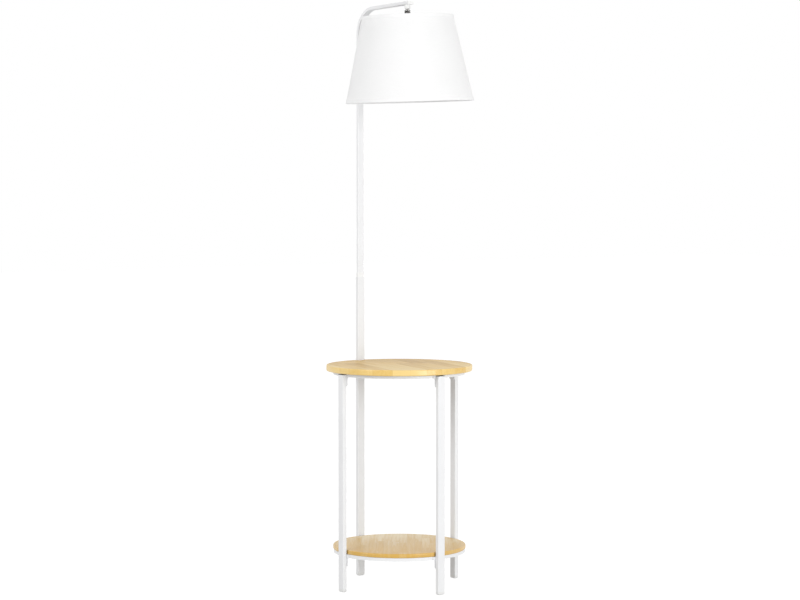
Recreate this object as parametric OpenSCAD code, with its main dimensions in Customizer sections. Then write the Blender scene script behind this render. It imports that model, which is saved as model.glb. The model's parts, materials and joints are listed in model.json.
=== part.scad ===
// Floor lamp with a round table and a lower shelf, in millimetres.
// +Z is up and the floor is at Z = 0. The origin is on the floor under the middle of the
// round boards, and +X is the way the arm reaches from the pole.

/* [Boards] */
// Height of the table's top surface above the floor
table_h = 610; // [450:5:800]
// Diameter of the table top
table_d = 400; // [330:5:500]
// Thickness of the table top
table_t = 16.5; // [12:0.5:25]
// Height of the lower shelf's top surface above the floor
shelf_h = 115; // [95:1:260]
// How far the lower shelf stands out past the ring it lies on
shelf_overhang = 1.4; // [0.6:0.2:6]
// Thickness of the lower shelf
shelf_t = 11.5; // [8:0.5:25]
// Radius that rounds both edges of a board's rim
board_edge_r = 3; // [1:0.5:4]
// Depth of the lower shelf's notches past a leg's inner face
shelf_notch_depth = 5; // [1:0.5:10]

/* [Legs] */
// How far a leg's outer face stands in from the table top's rim
leg_inset = 5; // [1:0.5:20]
// Width of a leg's tube, along the circle
leg_w = 22; // [21.5:0.5:30]
// Depth of a leg's tube, across the circle
leg_t = 12; // [11:0.5:16]
// Wall of a leg's tube
leg_wall = 1.5; // [0.8:0.1:1.8]
// Outer corner radius of both tubes
tube_corner_r = 1.2; // [1:0.1:2]
// Height of the part of a foot cap that shows under its leg
foot_h = 9; // [8:0.5:14]
// Radius that rounds the bottom of a foot cap along its width
foot_side_r = 7; // [2:0.5:8]
// Radius that rounds the bottom of a foot cap across its depth
foot_round_r = 4.5; // [1:0.5:4.5]
// Dark gap between the top of a leg and the table top
leg_top_gap = 1.8; // [0.5:0.1:4]

/* [Pole and arm] */
// Overall height of the lamp
total_h = 1598; // [1300:1:1900]
// Height of the joint where the upper pole plugs into the pole leg
joint_h = 843; // [700:1:1000]
// Wall of the upper pole's tube
pole_wall = 0.8; // [0.6:0.1:1.1]
// How deep the upper pole plugs into the pole leg
plug_depth = 45; // [30:1:80]
// Bend radius of the arm at the tube's centre line
bend_r = 70; // [40:1:90]
// Angle by which the arm rises towards its tip
arm_rise = 1.8; // [0:0.1:5]
// Distance from the pole's centre to the shade's axis
arm_reach = 227; // [200:1:300]
// How far the arm's end cap stands past the shade's axis
arm_overhang = 15; // [11:0.5:30]
// Height of the collar round the foot of the upper pole
joint_collar_h = 13; // [6:1:25]
// Wall of that collar
joint_collar_wall = 0.7; // [0.5:0.1:1]

/* [Ring frames] */
// Height of the rolled bar in each ring
ring_h = 9; // [6:0.5:16]
// Thickness of that bar
ring_t = 3; // [2:0.5:5]
// Thickness of the ears that are welded to the rings
ear_t = 3; // [2:0.5:5]
// Width of an ear
ear_w = 25; // [22:1:36]
// Radius of an ear's two lower corners
ear_corner_r = 7; // [3:0.5:10]
// Radius of the hollow corners where an ear widens into its ring
ear_root_r = 6; // [2:1:9]
// How far an ear hangs below the upper ring
upper_ear_drop = 25; // [20:1:40]
// How far an ear hangs below the lower ring
lower_ear_drop = 25; // [20:1:40]
// Height of a leg bolt above the end of its ear
ear_bolt_up = 12; // [9:0.5:14]
// Distance from a ring's inner side to a board screw
tab_reach = 18; // [12:1:40]
// Width of a board tab
tab_w = 18; // [12:1:30]
// Thickness of a board tab
tab_t = 2.5; // [1.5:0.5:4]

/* [Fasteners] */
// Diameter of a leg bolt
leg_bolt_d = 6; // [4:1:6]
// Diameter of a threaded insert in a leg
leg_insert_d = 10; // [8:0.5:12]
// Diameter of the pole's lock bolt
lock_bolt_d = 5; // [4:0.5:5]
// Diameter of the threaded insert for the lock bolt
lock_insert_d = 7; // [6.5:0.5:8]
// Diameter of a board screw
board_screw_d = 4; // [3:0.5:5]

/* [Swivel] */
// Radius of the swivel's round barrels and eyes
knuckle_r = 8; // [7:0.5:10]
// How far a tongue reaches past the round of the other half's eye
tongue_room = 1; // [0.5:0.5:6]
// Diameter of the threaded stems on both halves of the swivel
stem_d = 10; // [8:0.5:10]
// Height of the round barrel over the upper eye
upper_barrel_h = 2; // [1:0.5:8]
// Height of the round barrel under the lower eye
lower_barrel_h = 5; // [2:0.5:10]
// Length of bare stem that shows under the collar
neck_h = 4; // [1:0.5:12]
// Height of the white collar under the arm
arm_collar_h = 11.2; // [3:0.2:15]
// Diameter of the swivel's pin
pin_d = 4; // [3:0.5:5]
// Thickness of the friction washer between the two eyes
washer_t = 1; // [0.6:0.1:2]
// Sideways lean of the shade about the arm at rest
shade_lean = 2; // [0:0.5:5]

/* [Shade] */
// Diameter of the shade at its top
shade_top_d = 250; // [200:2:280]
// Diameter of the shade at its bottom
shade_bottom_d = 348; // [280:2:360]
// Height of the shade
shade_h = 227; // [200:1:300]
// Thickness of the lined fabric
shade_wall = 1.2; // [0.8:0.1:2]
// Height of the fabric trim round the shade's top and bottom
trim_h = 10; // [6:1:20]
// Thickness of that trim
trim_t = 0.6; // [0.4:0.1:1]
// Diameter of the shade's wires
wire_d = 3; // [2:0.5:4]
// Diameter of the three spokes that carry the shade's top wire
spoke_d = 2.4; // [1.6:0.2:2.6]
// Depth of the shade's fitter ring below its top
fitter_drop = 36; // [20:1:60]

/* [Lampholder and bulb] */
// Outer radius of the lampholder
holder_r = 20; // [18:0.5:24]
// Height of the lampholder's domed cap
cap_h = 19; // [16:1:30]
// Radius of the cap's round shoulder
cap_round_r = 10; // [5:1:11]
// Outer radius of the two shade rings
shade_ring_r = 28; // [26:0.5:34]
// Height of a shade ring
shade_ring_h = 7; // [4:0.5:10]
// Length of the bulb from its contact to its crown
bulb_h = 110; // [95:1:130]
// Diameter of the bulb
bulb_d = 60; // [45:1:70]
// Radius of the bulb's screw base
bulb_base_r = 13.3; // [13:0.1:13.5]
// Length of the bulb's screw base
bulb_base_h = 27; // [24:1:30]
// Length of that base that shows under the lampholder
bulb_reveal = 1; // [0.5:0.5:3]

/* [Clearances] */
// Gap on every side of a tube or plug that slides into another tube
slide_gap = 0.2; // [0.1:0.05:0.4]
// Gap between round or flat parts that are fitted together
fit_gap = 0.05; // [0.03:0.01:0.1]
// Gap between a bolt and the clearance hole that it passes through
bolt_slack = 0.3; // [0.2:0.1:0.5]
// Gap between the table top's notch and the pole leg
notch_gap = 0.7; // [0.3:0.1:2]
// Gap beside a leg in the lower shelf's shallow notches
shelf_notch_gap = 4; // [1:0.5:8]
// Depth that a weld sinks one bar into another
weld = 0.7; // [0.5:0.1:1]

/* [Hidden] */
$fn = 96;

// Colours as they show in daylight
white_paint = [0.93, 0.93, 0.92];
white_plastic = [0.96, 0.96, 0.95];
light_wood = [0.88, 0.75, 0.55];
zinc = [0.62, 0.62, 0.63];
dark_chrome = [0.32, 0.31, 0.30];
white_fabric = [0.97, 0.97, 0.96];
rubber_grey = [0.75, 0.75, 0.74];
dark_plastic = [0.16, 0.16, 0.16];
nickel = [0.72, 0.71, 0.68];
opal = [0.98, 0.97, 0.93];

// How far a cut reaches past what it cuts
cut = 1;
// Room left past the end of a part that sits in a closed space
end_room = 1;

// Legs: their angles round the table, and the heights of their ends
leg_r = table_d / 2 - leg_inset - leg_t / 2;
leg_inner_r = leg_r - leg_t / 2;
leg_angles = [-90, 0, 90];
pole_angle = 180;
all_leg_angles = [-90, 0, 90, 180];
board_bottom = table_h - table_t;
shelf_bottom = shelf_h - shelf_t;
plug_head_h = 1.4;
leg_top = board_bottom - leg_top_gap - plug_head_h;
foot_plug_depth = 16;

// Rings and ears
ring_r = leg_inner_r - ear_t + weld;
upper_bolt_z = board_bottom - ring_h - upper_ear_drop + ear_bolt_up;
lower_bolt_z = shelf_bottom - ring_h - lower_ear_drop + ear_bolt_up;
top_plug_depth = leg_top - upper_bolt_z - leg_insert_d / 2 - end_room;
tab_angles = [45, 135, 225, 315];
board_screw_r = ring_r - ring_t - tab_reach;
shelf_r = ring_r + shelf_overhang;

// Bolts, inserts and screws
bolt_head_r = leg_bolt_d * 0.875;
bolt_head_h = leg_bolt_d * 0.55;
leg_insert_l = leg_t - 2 * leg_wall - end_room;
leg_bolt_l = ear_t + leg_insert_l;
lock_z = joint_h - plug_depth / 2;
board_screw_head_r = board_screw_d * 0.9;
board_screw_head_h = board_screw_d * 0.55;
screw_bite = 0.65;
table_screw_l = tab_t + table_t * screw_bite;
shelf_screw_l = tab_t + shelf_t * screw_bite;

// Upper pole: it slides into the pole leg's tube
pole_t = leg_t - 2 * leg_wall - 2 * slide_gap;
pole_w = leg_w - 2 * leg_wall - 2 * slide_gap;
lock_insert_l = pole_t - 2 * pole_wall - end_room;

// Bend and arm: arm_z is the centre line's height at a distance x from the table's axis
pole_x = -leg_r;
shade_x = pole_x + arm_reach;
tip_x = shade_x + arm_overhang;
tip_z = total_h - pole_t / 2 * cos(arm_rise);
function arm_z(x) = tip_z - (tip_x - x) * tan(arm_rise);
bend_x = pole_x + bend_r;
arm_start_x = bend_x - bend_r * sin(arm_rise);
bend_z = arm_z(arm_start_x) - bend_r * cos(arm_rise);
end_cap_t = 2;
lock_nut_flat = 7;
end_plug_l = arm_overhang - end_cap_t - lock_nut_flat - 0.5;
arm_len = (tip_x - arm_start_x) / cos(arm_rise) - end_cap_t;
// The bend is drawn thinner than the straight lengths by this much and runs into them by this
// angle, so that the three lengths of the tube fuse without sharing a face
bend_step = 0.02;
bend_overlap = 0.4;
arm_bottom_z = arm_z(shade_x) - pole_t / 2 / cos(arm_rise);

// Cord outlet near the foot of the pole leg
cord_hole_z = 45;
cord_hole_r = 4.5;
cord_bore_r = 3;

// Swivel: heights are measured from its pin
stem_r = stem_d / 2;
stem_bore_r = 3;
tongue_h = knuckle_r + tongue_room;
neck_top = tongue_h + upper_barrel_h + neck_h;
pivot_z = arm_bottom_z - arm_collar_h - neck_top;
lower_stem_l = 8;
lock_nut_h = 3;
lock_nut_z = neck_top + arm_collar_h + pole_wall + lock_nut_flat * tan(arm_rise) + fit_gap;
upper_stem_top = lock_nut_z + lock_nut_h + 1;
eye_gap = washer_t / 2 + fit_gap;
eye_w = knuckle_r - 1;
pin_head_r = pin_d * 0.82;
pin_head_h = 1.5;
pin_nut_h = 2.6;

// Lampholder: z runs down from the swivel's pin
cap_top = -tongue_h - lower_barrel_h;
holder_top = cap_top - cap_h;
holder_bore_r = bulb_base_r + 1;
holder_roof = 3;
insert_h = 10;
contact_r = 3;
contact_h = 1.5;
wire_hole_x = 6;
wire_hole_r = 1.6;
contact_z = holder_top - holder_roof - insert_h - contact_h;
bulb_top = contact_z - fit_gap;
bulb_neck_z = bulb_top - bulb_base_h;
holder_bottom = bulb_neck_z + bulb_reveal;
holder_h = holder_top - holder_bottom;
cap_neck_h = 2;
cap_wall = 2;

// Shade: z runs down from the middle of the shade's top
shade_slope = atan((shade_bottom_d - shade_top_d) / 2 / shade_h);
wire_r = wire_d / 2;
fitter_t = 2;
fitter_hub_r = shade_ring_r + 2.5;
spoke_angles = [90, 210, 330];
fitter_z = holder_top - end_room - shade_ring_h - fitter_t / 2;
shade_top_z = fitter_z + fitter_drop;
skin_edge = trim_t + fit_gap;
wire_z = skin_edge + fit_gap + wire_r;
// Point on the shade at a depth below its top, moved inwards square to its side
function shade_pt(inwards, depth) =
    [shade_top_d / 2 - trim_t - fit_gap + depth * tan(shade_slope) - inwards / cos(shade_slope),
     -depth];
wire_inwards = shade_wall + fit_gap + wire_r;

// Bulb
bulb_r = bulb_d / 2;
bulb_glass_wall = 1;
bulb_ball_z = bulb_top - bulb_h + bulb_r;

// ---------- Shared shapes ----------

// Rounded rectangle, t along X and w along Y
module bar_profile(t, w, r) {
    square([t - 2 * r, w], center = true);
    square([t, w - 2 * r], center = true);
    for (sx = [-1, 1], sy = [-1, 1])
        translate([sx * (t / 2 - r), sy * (w / 2 - r)]) circle(r = r);
}

// Corner radius of a tube's bore
function bore_corner_r(wall) = max(tube_corner_r - wall, 0.2);

// Rectangular steel tube standing on Z = 0
module tube(t, w, wall, l) {
    linear_extrude(l) difference() {
        bar_profile(t, w, tube_corner_r);
        bar_profile(t - 2 * wall, w - 2 * wall, bore_corner_r(wall));
    }
}

// Plug that fills a tube's inside, standing on Z = 0
module tube_plug(t, w, wall, l) {
    inset = wall + slide_gap;
    linear_extrude(l) bar_profile(t - 2 * inset, w - 2 * inset, bore_corner_r(wall));
}

// Place children at a leg: X points away from the table's axis
module at_leg(angle) {
    rotate([0, 0, angle]) translate([leg_r, 0, 0]) children();
}

// Place children on the arm's centre line at a distance from the bend: Z points to the tip
module at_arm(distance) {
    translate([bend_x, 0, bend_z]) rotate([0, 90 - arm_rise, 0])
        translate([-bend_r, 0, distance]) children();
}

// Place children at the swivel's pin, leaning with the shade
module at_head() {
    translate([shade_x, 0, pivot_z]) rotate([shade_lean, 0, 0]) children();
}

// Round bar along +X from X = 0
module rod_x(r, l) {
    rotate([0, 90, 0]) cylinder(r = r, h = l);
}

// Straight wire between two points
module strut(a, b, r) {
    v = b - a;
    l = norm(v);
    translate(a) rotate([0, acos(v[2] / l), atan2(v[1], v[0])]) cylinder(r = r, h = l);
}

// Button-head socket bolt: head towards -X, its seat at X = 0
module button_bolt(d, l, head_r, head_h) {
    socket_r = d * 0.38;
    ball_r = (head_r * head_r + head_h * head_h) / 2 / head_h;
    difference() {
        union() {
            rod_x(d / 2, l);
            intersection() {
                translate([-head_h, 0, 0]) rod_x(head_r, head_h);
                translate([ball_r - head_h, 0, 0]) sphere(r = ball_r);
            }
        }
        translate([-head_h - cut, 0, 0]) rotate([0, 90, 0])
            cylinder(r = socket_r, h = cut + head_h * 0.6, $fn = 6);
    }
}

// Threaded insert along +X from X = 0
module insert(d, bolt_d, l) {
    difference() {
        rod_x(d / 2, l);
        translate([-cut, 0, 0]) rod_x(bolt_d / 2 + fit_gap, l + 2 * cut);
    }
}

// ---------- Legs and pole ----------

// Holes in a leg's inner wall for the two threaded inserts
module leg_insert_holes() {
    for (z = [lower_bolt_z, upper_bolt_z])
        translate([-leg_t / 2 - cut, 0, z]) rod_x(leg_insert_d / 2 + fit_gap, leg_wall + 2 * cut);
}

module leg(angle) {
    color(white_paint) at_leg(angle) difference() {
        translate([0, 0, foot_h]) tube(leg_t, leg_w, leg_wall, leg_top - foot_h);
        leg_insert_holes();
    }
}

module front_left_leg() { leg(leg_angles[0]); }

module front_right_leg() { leg(leg_angles[1]); }

module back_right_leg() { leg(leg_angles[2]); }

// The fourth leg goes on up through the table top as the lower half of the pole
module pole_leg() {
    color(white_paint) at_leg(pole_angle) difference() {
        translate([0, 0, foot_h]) tube(leg_t, leg_w, leg_wall, joint_h - foot_h);
        leg_insert_holes();
        translate([leg_t / 2 - leg_wall - cut, 0, 0]) {
            translate([0, 0, cord_hole_z]) rod_x(cord_hole_r, leg_wall + 2 * cut);
            translate([0, 0, lock_z])
                rod_x(lock_bolt_d / 2 + bolt_slack, leg_wall + 2 * cut);
        }
    }
}

// Upright, bend and arm as one path, set in by inset all round and longer by extra at its ends
module pole_path(inset, corner_r, extra) {
    t = pole_t - 2 * inset;
    w = pole_w - 2 * inset;
    rise = bend_z - joint_h + plug_depth + extra;
    translate([pole_x, 0, bend_z - rise]) linear_extrude(rise) bar_profile(t, w, corner_r);
    translate([bend_x, 0, bend_z]) rotate([90, 0, 0])
        rotate([0, 0, 90 + arm_rise - bend_overlap])
            rotate_extrude(angle = 90 - arm_rise + 2 * bend_overlap) translate([bend_r, 0])
                bar_profile(t - 2 * bend_step, w - 2 * bend_step, corner_r);
    at_arm(0) linear_extrude(arm_len + extra) bar_profile(t, w, corner_r);
}

module upper_pole() {
    color(white_paint) difference() {
        pole_path(0, tube_corner_r, 0);
        pole_path(pole_wall, bore_corner_r(pole_wall), cut);
        translate([pole_x - pole_t / 2 - cut, 0, lock_z])
            rod_x(lock_insert_d / 2 + fit_gap, pole_wall + 2 * cut);
        translate([shade_x, 0, arm_bottom_z - cut])
            cylinder(r = stem_r + fit_gap, h = pole_wall + 3 * cut);
    }
}

module pole_joint_collar() {
    color(white_plastic) translate([pole_x, 0, joint_h]) linear_extrude(joint_collar_h)
        difference() {
            bar_profile(pole_t + 2 * joint_collar_wall, pole_w + 2 * joint_collar_wall,
                        tube_corner_r);
            bar_profile(pole_t + slide_gap, pole_w + slide_gap, tube_corner_r);
        }
}

module pole_lock_insert() {
    color(zinc) translate([pole_x - pole_t / 2, 0, lock_z])
        insert(lock_insert_d, lock_bolt_d, lock_insert_l);
}

module pole_lock_bolt() {
    l = (leg_t - pole_t) / 2 + lock_insert_l;
    color(zinc) translate([pole_x - leg_t / 2, 0, lock_z])
        button_bolt(lock_bolt_d, l, lock_bolt_d * 0.9, lock_bolt_d * 0.5);
}

// Rubber grommet that lines the cord's outlet
module cord_grommet() {
    flange_t = 1.6;
    color(rubber_grey) at_leg(pole_angle) translate([leg_t / 2 - leg_wall, 0, cord_hole_z])
        difference() {
            union() {
                translate([-flange_t - fit_gap, 0, 0]) rod_x(cord_hole_r + 1.5, flange_t);
                translate([-flange_t, 0, 0])
                    rod_x(cord_hole_r - fit_gap, leg_wall + 2 * flange_t);
                translate([leg_wall + fit_gap, 0, 0]) rod_x(cord_hole_r + 2.5, flange_t);
            }
            translate([-leg_t, 0, 0]) rod_x(cord_bore_r, 2 * leg_t);
        }
}

// Foot cap: a plug with a rounded shoe that the leg stands on
module foot_cap() {
    intersection() {
        linear_extrude(foot_h) bar_profile(leg_t, leg_w, tube_corner_r);
        rotate([90, 0, 0]) linear_extrude(leg_w, center = true) shoe_side(leg_t, foot_round_r);
        rotate([90, 0, 90]) linear_extrude(leg_t, center = true) shoe_side(leg_w, foot_side_r);
    }
    translate([0, 0, foot_h]) tube_plug(leg_t, leg_w, leg_wall, foot_plug_depth);
}

// Side view of a shoe of width w, with its bottom corners rounded by r
module shoe_side(w, r) {
    translate([-w / 2 + r, 0]) square([w - 2 * r, foot_h]);
    translate([-w / 2, r]) square([w, foot_h - r]);
    for (s = [-1, 1]) translate([s * (w / 2 - r), r]) circle(r = r);
}

module foot_caps() {
    color(white_plastic) for (a = all_leg_angles) at_leg(a) foot_cap();
}

module leg_top_plugs() {
    color(dark_plastic) for (a = leg_angles) at_leg(a) {
        translate([0, 0, leg_top]) linear_extrude(plug_head_h)
            bar_profile(leg_t, leg_w, tube_corner_r);
        translate([0, 0, leg_top - top_plug_depth])
            tube_plug(leg_t, leg_w, leg_wall, top_plug_depth);
    }
}

// ---------- Ring frames ----------

// Ear: a flat tongue with round lower corners and a flared root, square to the leg's radius
module ear(drop) {
    root_w = ear_w + 2 * ear_root_r;
    translate([leg_inner_r - ear_t, 0, 0]) rotate([90, 0, 90]) linear_extrude(ear_t) {
        difference() {
            translate([-root_w / 2, -ear_root_r]) square([root_w, ear_root_r + ring_h]);
            for (s = [-1, 1]) translate([s * root_w / 2, -ear_root_r]) circle(r = ear_root_r);
        }
        translate([-ear_w / 2, ear_corner_r - drop]) square([ear_w, drop - ear_corner_r]);
        translate([ear_corner_r - ear_w / 2, -drop])
            square([ear_w - 2 * ear_corner_r, ear_corner_r]);
        for (s = [-1, 1]) translate([s * (ear_w / 2 - ear_corner_r), ear_corner_r - drop])
            circle(r = ear_corner_r);
    }
}

// Tab with a hole for a board screw, level with the top of the ring
module board_tab() {
    translate([board_screw_r, -tab_w / 2, ring_h - tab_t])
        cube([ring_r - ring_t + weld - board_screw_r, tab_w, tab_t]);
    translate([board_screw_r, 0, ring_h - tab_t]) cylinder(r = tab_w / 2, h = tab_t);
}

// Welded frame: ring, ears and tabs in one piece, its ring standing on Z = 0
module ring_frame(drop) {
    difference() {
        union() {
            rotate_extrude() translate([ring_r - ring_t, 0]) square([ring_t, ring_h]);
            for (a = all_leg_angles) rotate([0, 0, a]) ear(drop);
            for (a = tab_angles) rotate([0, 0, a]) board_tab();
        }
        for (a = all_leg_angles) rotate([0, 0, a])
            translate([leg_inner_r - ear_t - cut, 0, ear_bolt_up - drop])
                rod_x(leg_bolt_d / 2 + bolt_slack, ear_t + 2 * cut);
        for (a = tab_angles) rotate([0, 0, a]) translate([board_screw_r, 0, -cut])
            cylinder(r = board_screw_d / 2 + bolt_slack, h = ring_h + 2 * cut);
    }
}

module upper_ring_frame() {
    color(white_paint) translate([0, 0, board_bottom - ring_h]) ring_frame(upper_ear_drop);
}

module lower_ring_frame() {
    color(white_paint) translate([0, 0, shelf_bottom - ring_h]) ring_frame(lower_ear_drop);
}

// Bolts or inserts at all four legs, at height z
module leg_bolts(z) {
    for (a = all_leg_angles) at_leg(a) translate([-leg_t / 2 - ear_t, 0, z])
        button_bolt(leg_bolt_d, leg_bolt_l, bolt_head_r, bolt_head_h);
}

module leg_inserts(z) {
    for (a = all_leg_angles) at_leg(a) translate([-leg_t / 2, 0, z])
        insert(leg_insert_d, leg_bolt_d, leg_insert_l);
}

module upper_leg_bolts() { color(zinc) leg_bolts(upper_bolt_z); }

module lower_leg_bolts() { color(zinc) leg_bolts(lower_bolt_z); }

module upper_leg_inserts() { color(zinc) leg_inserts(upper_bolt_z); }

module lower_leg_inserts() { color(zinc) leg_inserts(lower_bolt_z); }

// ---------- Boards ----------

// Round board with rounded rim edges, standing on Z = 0
module round_board(r, t) {
    rotate_extrude() {
        square([r - board_edge_r, t]);
        translate([0, board_edge_r]) square([r, t - 2 * board_edge_r]);
        for (z = [board_edge_r, t - board_edge_r])
            translate([r - board_edge_r, z]) circle(r = board_edge_r);
    }
}

// Pilot holes for the board screws, rising from Z = 0
module pilot_holes(depth) {
    for (a = tab_angles) rotate([0, 0, a]) translate([board_screw_r, 0, -cut])
        cylinder(r = board_screw_d / 2 + fit_gap, h = cut + depth + end_room);
}

module table_top() {
    notch_x = leg_inner_r - notch_gap;
    notch_w = leg_w + 2 * notch_gap;
    color(light_wood) translate([0, 0, board_bottom]) difference() {
        round_board(table_d / 2, table_t);
        rotate([0, 0, pole_angle]) translate([notch_x, -notch_w / 2, -cut])
            cube([table_d, notch_w, table_t + 2 * cut]);
        pilot_holes(table_screw_l - tab_t);
    }
}

module lower_shelf() {
    notch_w = leg_w + 2 * shelf_notch_gap;
    color(light_wood) translate([0, 0, shelf_bottom]) difference() {
        round_board(shelf_r, shelf_t);
        for (a = all_leg_angles) rotate([0, 0, a])
            translate([leg_inner_r - shelf_notch_depth, -notch_w / 2, -cut])
                cube([shelf_r, notch_w, shelf_t + 2 * cut]);
        pilot_holes(shelf_screw_l - tab_t);
    }
}

// Board screws, driven up through the tabs under a board at height z
module board_screws(z, l) {
    for (a = tab_angles) rotate([0, 0, a]) translate([board_screw_r, 0, z - tab_t])
        rotate([0, -90, 0]) button_bolt(board_screw_d, l, board_screw_head_r, board_screw_head_h);
}

module table_top_screws() { color(zinc) board_screws(board_bottom, table_screw_l); }

module lower_shelf_screws() { color(zinc) board_screws(shelf_bottom, shelf_screw_l); }

// ---------- Arm end and swivel ----------

module arm_end_cap() {
    color(white_plastic) {
        at_arm(arm_len) linear_extrude(end_cap_t) bar_profile(pole_t, pole_w, tube_corner_r);
        at_arm(arm_len - end_plug_l) tube_plug(pole_t, pole_w, pole_wall, end_plug_l);
    }
}

// Collar with its top cut to the arm's slope
module arm_collar() {
    span = 4 * knuckle_r;
    color(white_plastic) difference() {
        translate([shade_x, 0, pivot_z + neck_top])
            cylinder(r = knuckle_r, h = arm_collar_h + knuckle_r);
        translate([shade_x, 0, arm_bottom_z]) rotate([0, -arm_rise, 0])
            translate([-span / 2, -span / 2, 0]) cube(span);
        translate([shade_x, 0, pivot_z]) cylinder(r = stem_r + fit_gap, h = span);
    }
}

module swivel_lock_nut() {
    color(zinc) translate([shade_x, 0, pivot_z + lock_nut_z]) difference() {
        rotate([0, 0, 30]) cylinder(r = lock_nut_flat / cos(30), h = lock_nut_h, $fn = 6);
        translate([0, 0, -cut]) cylinder(r = stem_r + fit_gap, h = lock_nut_h + 2 * cut);
    }
}

// One half of the swivel: an eye beside the pin, a barrel and a hollow stem above it
module knuckle(barrel_l, stem_top) {
    difference() {
        union() {
            intersection() {
                translate([0, 0, -knuckle_r]) cylinder(r = knuckle_r, h = knuckle_r + tongue_h);
                union() {
                    translate([-eye_w, 0, 0]) rod_x(knuckle_r, eye_w - eye_gap);
                    translate([-eye_w, -knuckle_r, 0])
                        cube([eye_w - eye_gap, 2 * knuckle_r, tongue_h]);
                }
            }
            translate([0, 0, tongue_h]) cylinder(r = knuckle_r, h = barrel_l);
            translate([0, 0, tongue_h]) cylinder(r = stem_r, h = stem_top - tongue_h);
        }
        translate([0, 0, tongue_h - 2]) cylinder(r = stem_bore_r, h = stem_top);
        translate([-2 * knuckle_r, 0, 0]) rod_x(pin_d / 2 + fit_gap, 4 * knuckle_r);
    }
}

module swivel_upper_knuckle() {
    color(dark_chrome) translate([shade_x, 0, pivot_z]) knuckle(upper_barrel_h, upper_stem_top);
}

module swivel_lower_knuckle() {
    color(dark_chrome) at_head() rotate([0, 180, 0])
        knuckle(lower_barrel_h, tongue_h + lower_barrel_h + lower_stem_l);
}

module swivel_washer() {
    color(zinc) translate([shade_x - washer_t / 2, 0, pivot_z]) difference() {
        rod_x(knuckle_r - 1, washer_t);
        translate([-cut, 0, 0]) rod_x(pin_d / 2 + fit_gap, washer_t + 2 * cut);
    }
}

module swivel_pin() {
    color(nickel) at_head() translate([-eye_w - fit_gap, 0, 0])
        button_bolt(pin_d, 2 * eye_w + pin_nut_h, pin_head_r, pin_head_h);
}

module swivel_pin_nut() {
    color(nickel) at_head() translate([eye_w + fit_gap, 0, 0]) difference() {
        rotate([0, 90, 0]) cylinder(r = pin_d * 0.9, h = pin_nut_h, $fn = 6);
        translate([-cut, 0, 0]) rod_x(pin_d / 2 + fit_gap, pin_nut_h + 2 * cut);
    }
}

// ---------- Lampholder and bulb ----------

// Dome with a round shoulder and a short neck, on a roof that takes the swivel's stem
module lampholder_cap() {
    dome_top = cap_top - cap_neck_h;
    shoulder_z = dome_top - cap_round_r;
    color(white_plastic) at_head() difference() {
        rotate_extrude() {
            translate([0, holder_top]) square([holder_r, shoulder_z - holder_top]);
            translate([0, holder_top]) square([holder_r - cap_round_r, dome_top - holder_top]);
            translate([0, holder_top]) square([knuckle_r, cap_h]);
            intersection() {
                translate([holder_r - cap_round_r, shoulder_z]) circle(r = cap_round_r);
                translate([0, holder_top]) square([holder_r, cap_h]);
            }
        }
        translate([0, 0, holder_top - cut])
            cylinder(r = holder_r - cap_wall, h = cap_h + cut - lower_stem_l - end_room);
        translate([0, 0, holder_top]) cylinder(r = stem_r + fit_gap, h = cap_h + cut);
    }
}

module lampholder_body() {
    color(white_plastic) at_head() difference() {
        translate([0, 0, holder_bottom]) cylinder(r = holder_r, h = holder_h);
        translate([0, 0, holder_bottom - cut])
            cylinder(r = holder_bore_r, h = holder_h - holder_roof + cut);
        for (s = [-1, 1]) translate([s * wire_hole_x, 0, holder_bottom])
            cylinder(r = wire_hole_r, h = holder_h + cut);
    }
}

// Insulating insert at the top of the lampholder's bore
module lampholder_insert() {
    color(white_plastic) at_head() translate([0, 0, holder_top - holder_roof - insert_h])
        cylinder(r = holder_bore_r - fit_gap, h = insert_h);
}

// Spring contact that the bulb's tip presses on
module centre_contact() {
    color(nickel) at_head() translate([0, 0, contact_z]) cylinder(r = contact_r, h = contact_h);
}

// Ring nut with finger grips round its rim, its top at height z
module shade_ring(z) {
    grips = 18;
    grip_r = 2;
    difference() {
        translate([0, 0, z - shade_ring_h]) cylinder(r = shade_ring_r, h = shade_ring_h);
        translate([0, 0, z - shade_ring_h - cut]) {
            cylinder(r = holder_r + fit_gap, h = shade_ring_h + 2 * cut);
            for (i = [0:grips - 1]) rotate([0, 0, i * 360 / grips])
                translate([shade_ring_r + grip_r * 0.6, 0, 0])
                    cylinder(r = grip_r, h = shade_ring_h + 2 * cut);
        }
    }
}

module shade_ring_upper() {
    color(white_plastic) at_head() shade_ring(fitter_z + fitter_t / 2 + shade_ring_h);
}

module shade_ring_lower() {
    color(white_plastic) at_head() shade_ring(fitter_z - fitter_t / 2);
}

module bulb_base() {
    tip_h = 4;
    tip_r = 4.5;
    color(nickel) at_head() {
        translate([0, 0, bulb_neck_z]) cylinder(r = bulb_base_r, h = bulb_base_h - tip_h);
        translate([0, 0, bulb_top - tip_h])
            cylinder(r1 = bulb_base_r, r2 = tip_r, h = tip_h);
    }
}

// Bulb outline: a ball with a cone neck that meets it at a tangent
module bulb_form(shrink) {
    ball_r = bulb_r - shrink;
    neck_r = bulb_base_r - shrink;
    drop = bulb_neck_z - bulb_ball_z;
    meet = atan2(drop, neck_r) - acos(ball_r / norm([neck_r, drop]));
    meet_z = bulb_ball_z + ball_r * sin(meet);
    translate([0, 0, bulb_ball_z]) sphere(r = ball_r);
    translate([0, 0, meet_z])
        cylinder(r1 = ball_r * cos(meet), r2 = neck_r, h = bulb_neck_z - meet_z);
}

module bulb_glass() {
    color(opal) at_head() difference() {
        bulb_form(0);
        bulb_form(bulb_glass_wall);
        translate([0, 0, bulb_neck_z - fit_gap]) cylinder(r = bulb_r, h = 10);
    }
}

// ---------- Shade ----------

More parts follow.
